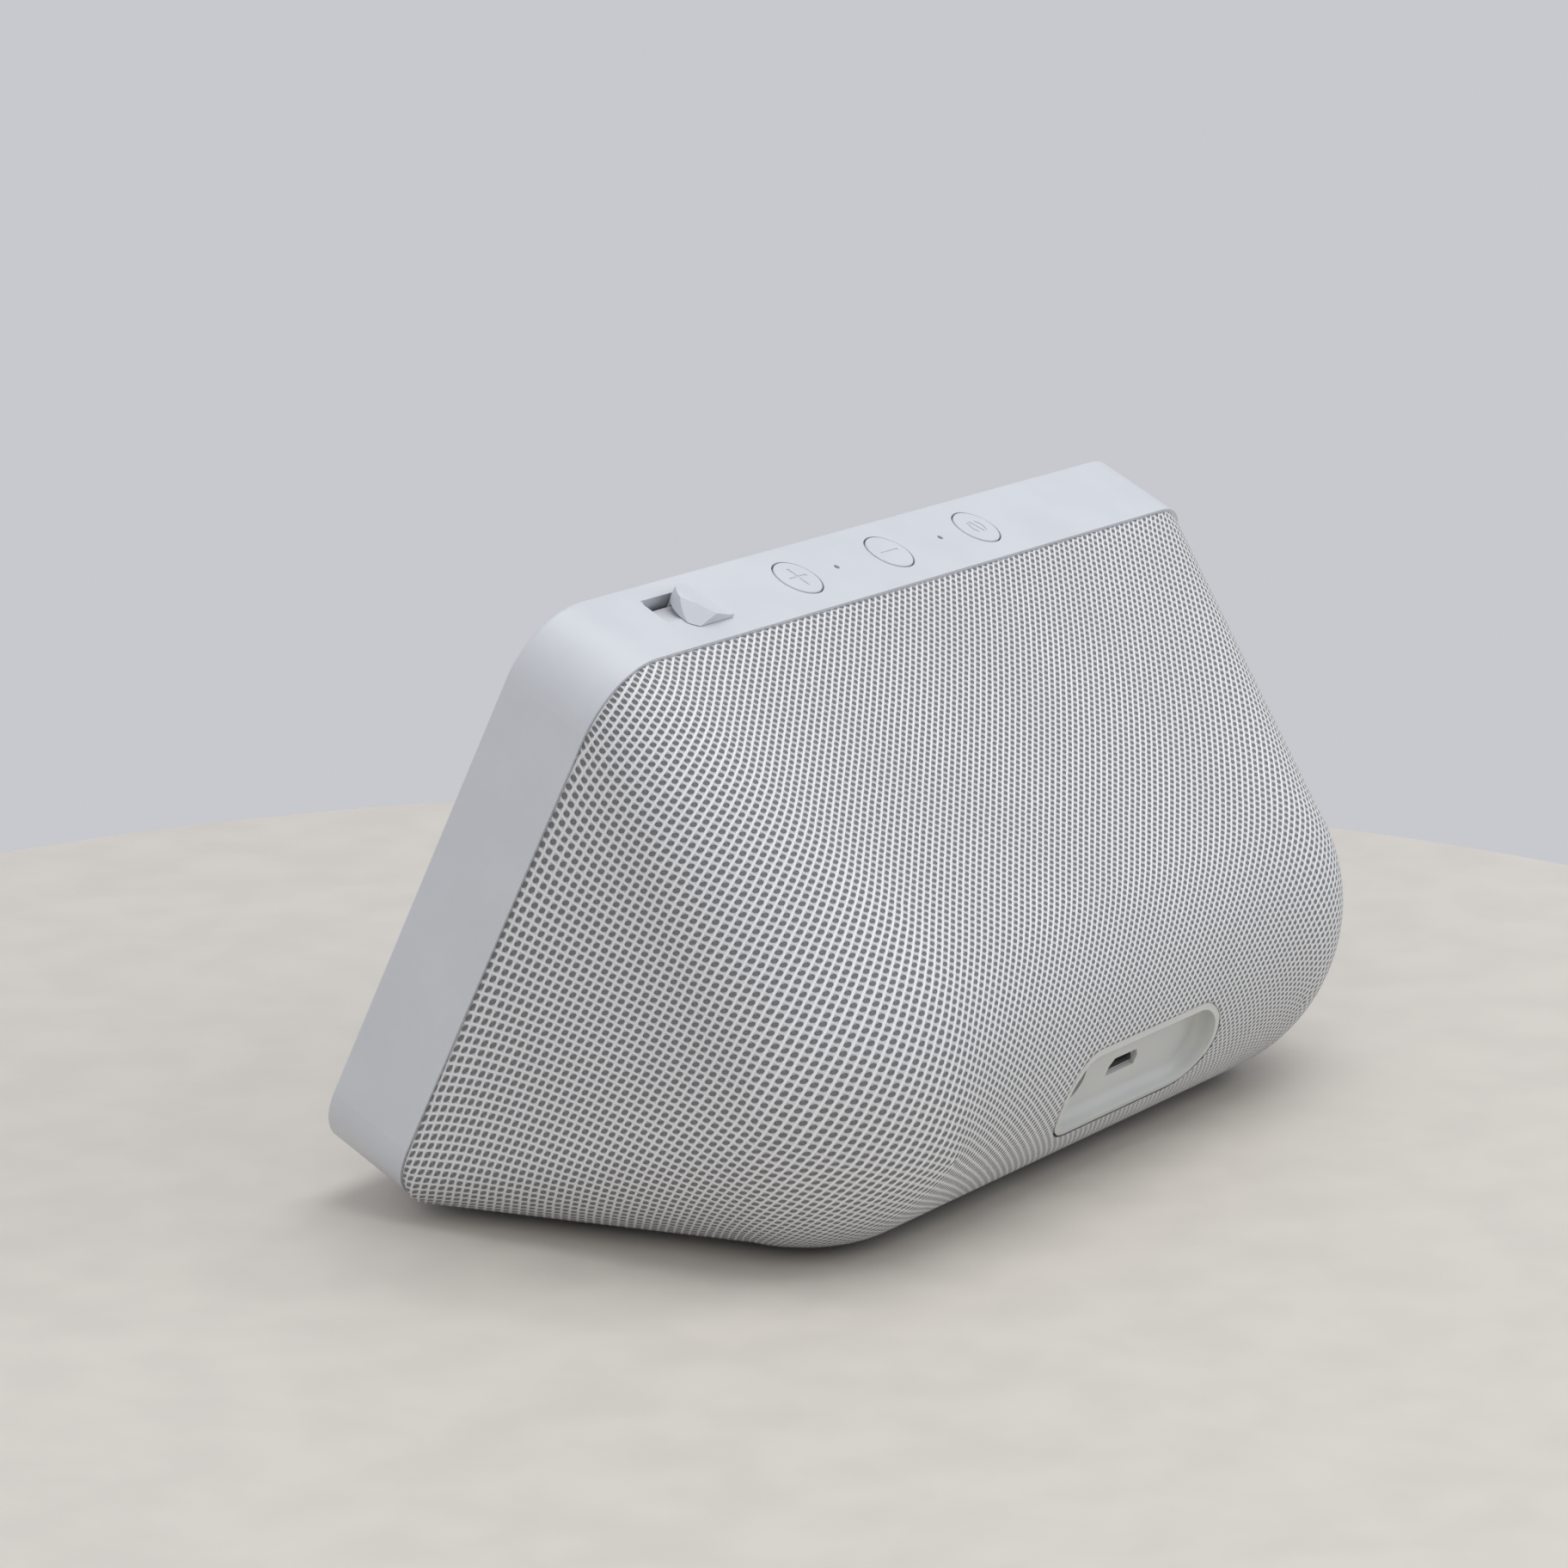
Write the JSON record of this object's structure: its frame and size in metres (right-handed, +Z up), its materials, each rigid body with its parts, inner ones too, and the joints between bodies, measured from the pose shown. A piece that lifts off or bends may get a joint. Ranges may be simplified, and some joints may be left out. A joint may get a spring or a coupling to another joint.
{
  "type": "smart speaker",
  "caption": "Table-top smart speaker: tilted glass touch screen in a rounded plastic frame, net-fabric speaker body behind, top buttons, sliding camera shutter, rear ports.",
  "frame": {"origin": "bottom centre of the whole object's box, on the table under the foot pad", "axes": "+Z up, the screen faces -Y and leans back, +X is the camera and shutter side (right seen from the front)"},
  "size_m": [0.148, 0.0882, 0.0859],
  "materials": {
    "frame_plastic": "fine-textured satin",
    "button_plastic": "fine-textured satin",
    "fabric": "two-layer net, light threads over a grey ground",
    "cover_glass": "polished, printed black behind",
    "dark_plastic": "moulded",
    "recess_plastic": "fine-textured satin",
    "housing_plastic": "moulded",
    "foot_rubber": "soft, matt",
    "display_film": "glossy film",
    "white_film": "diffusing film",
    "steel": "stamped sheet",
    "aluminium": "plain sheet",
    "circuit_board": "solder mask",
    "lens": "coated",
    "gold_contact": "plated",
    "magnet": "sintered ferrite",
    "paper": "pressed pulp",
    "coil_copper": "wound enamelled wire",
    "foam_rubber": "soft",
    "cable_film": "flexible film"
  },
  "bodies": {
    "housing": {"front_frame": "frame_plastic", "cover_glass": "cover_glass", "display_panel": "display_film", "backlight_unit": "white_film", "display_bracket": "steel", "camera_lens": "lens", "camera_module": "dark_plastic", "light_sensor": "dark_plastic", "switch_board": "circuit_board", "dome_switches": "gold_contact", "microphones": "aluminium", "mic_seals": "foam_rubber", "rear_housing": "housing_plastic", "fabric_cover": "fabric", "foot_pad": "foot_rubber", "base_plate": "housing_plastic", "port_recess": "recess_plastic", "dc_jack": "dark_plastic", "dc_jack_pin": "gold_contact", "usb_shell": "steel", "usb_tongue": "dark_plastic", "port_board": "circuit_board", "speaker_gasket": "foam_rubber", "speaker_basket": "steel", "speaker_top_plate": "steel", "speaker_magnet": "magnet", "speaker_yoke": "steel", "cone_surround": "foam_rubber", "main_board": "circuit_board", "processor_shield": "steel", "wireless_shield": "steel", "heat_spreader": "aluminium", "wireless_antennas": "gold_contact", "display_cable": "cable_film", "control_cable": "cable_film", "port_cable": "cable_film", "frame_screws": "steel"},
    "shutter": {"shutter_slider": "frame_plastic", "shutter_blade": "dark_plastic"},
    "mute_button": {"mute_button": "button_plastic"},
    "volume_down_button": {"volume_down_button": "button_plastic"},
    "volume_up_button": {"volume_up_button": "button_plastic"},
    "speaker_cone": {"speaker_cone": "paper", "dust_cap": "paper", "voice_coil": "coil_copper"}
  },
  "joints": [
    {"name": "shutter_slide", "type": "slide", "parent": "housing", "child": "shutter", "axis": [1, 0, 0], "range_m": [0, 0.0046]},
    {"name": "mute_button_press", "type": "slide", "parent": "housing", "child": "mute_button", "axis": [0, -0.4431, -0.8965], "range_m": [0, 0.0004], "stiffness_N_per_m": 400, "springref_m": -0.0001},
    {"name": "volume_down_button_press", "type": "slide", "parent": "housing", "child": "volume_down_button", "axis": [0, -0.4431, -0.8965], "range_m": [0, 0.0004], "stiffness_N_per_m": 400, "springref_m": -0.0001},
    {"name": "volume_up_button_press", "type": "slide", "parent": "housing", "child": "volume_up_button", "axis": [0, -0.4431, -0.8965], "range_m": [0, 0.0004], "stiffness_N_per_m": 400, "springref_m": -0.0001},
    {"name": "cone_stroke", "type": "slide", "parent": "housing", "child": "speaker_cone", "axis": [0, 0.76, 0.65], "range_m": [-0.0015, 0.0015], "stiffness_N_per_m": 1000}
  ]
}
